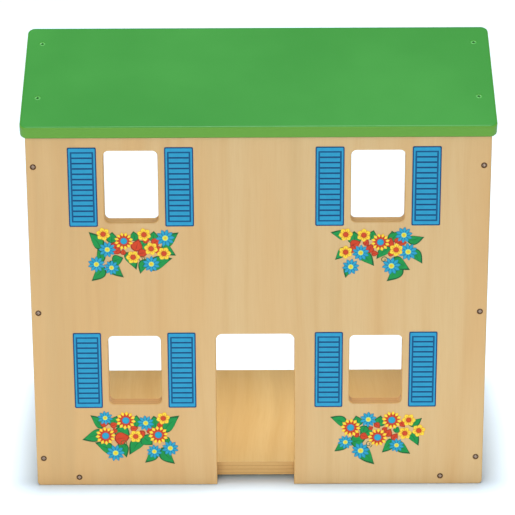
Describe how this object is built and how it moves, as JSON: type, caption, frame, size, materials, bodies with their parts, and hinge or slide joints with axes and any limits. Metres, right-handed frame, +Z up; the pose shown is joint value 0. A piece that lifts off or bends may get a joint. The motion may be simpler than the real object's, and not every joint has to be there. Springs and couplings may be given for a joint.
{
  "type": "wooden dollhouse",
  "caption": "Open-backed toy house of screwed wooden boards with rooms on two floors, a doorway, windows with printed shutters and flower borders, and a painted pitched roof.",
  "frame": {"origin": "on the ground, at the middle of the house", "axes": "+Z up, -Y out of the front wall, +X to the right for someone who faces the front"},
  "size_m": [0.622, 0.3522, 0.598],
  "materials": {
    "clear_lacquered_wood": "pale hardwood plywood, clear satin lacquer, rounded arrises",
    "green_painted_wood": "satin green paint over wood, rounded arrises",
    "bronzed_steel": "satin, yellow-bronze plated steel",
    "green_painted_steel": "satin green paint over the screw heads",
    "shutter_print": "printed vinyl film, satin",
    "flower_print": "printed vinyl film, satin"
  },
  "bodies": {
    "root": {"front_wall": "clear_lacquered_wood", "left_side_wall": "clear_lacquered_wood", "right_side_wall": "clear_lacquered_wood", "ground_floor": "clear_lacquered_wood", "upper_floor": "clear_lacquered_wood", "roof_front_board": "green_painted_wood", "roof_back_board": "green_painted_wood", "front_wall_side_screws": "bronzed_steel", "front_wall_base_screws": "bronzed_steel", "ground_floor_screws": "bronzed_steel", "upper_floor_screws": "bronzed_steel", "roof_front_screws": "green_painted_steel", "roof_back_screws": "green_painted_steel", "upper_left_shutter_left": "shutter_print", "upper_left_shutter_right": "shutter_print", "upper_right_shutter_left": "shutter_print", "upper_right_shutter_right": "shutter_print", "lower_left_shutter_left": "shutter_print", "lower_left_shutter_right": "shutter_print", "lower_right_shutter_left": "shutter_print", "lower_right_shutter_right": "shutter_print", "upper_left_flower_decal": "flower_print", "upper_right_flower_decal": "flower_print", "lower_left_flower_decal": "flower_print", "lower_right_flower_decal": "flower_print"}
  },
  "joints": []
}
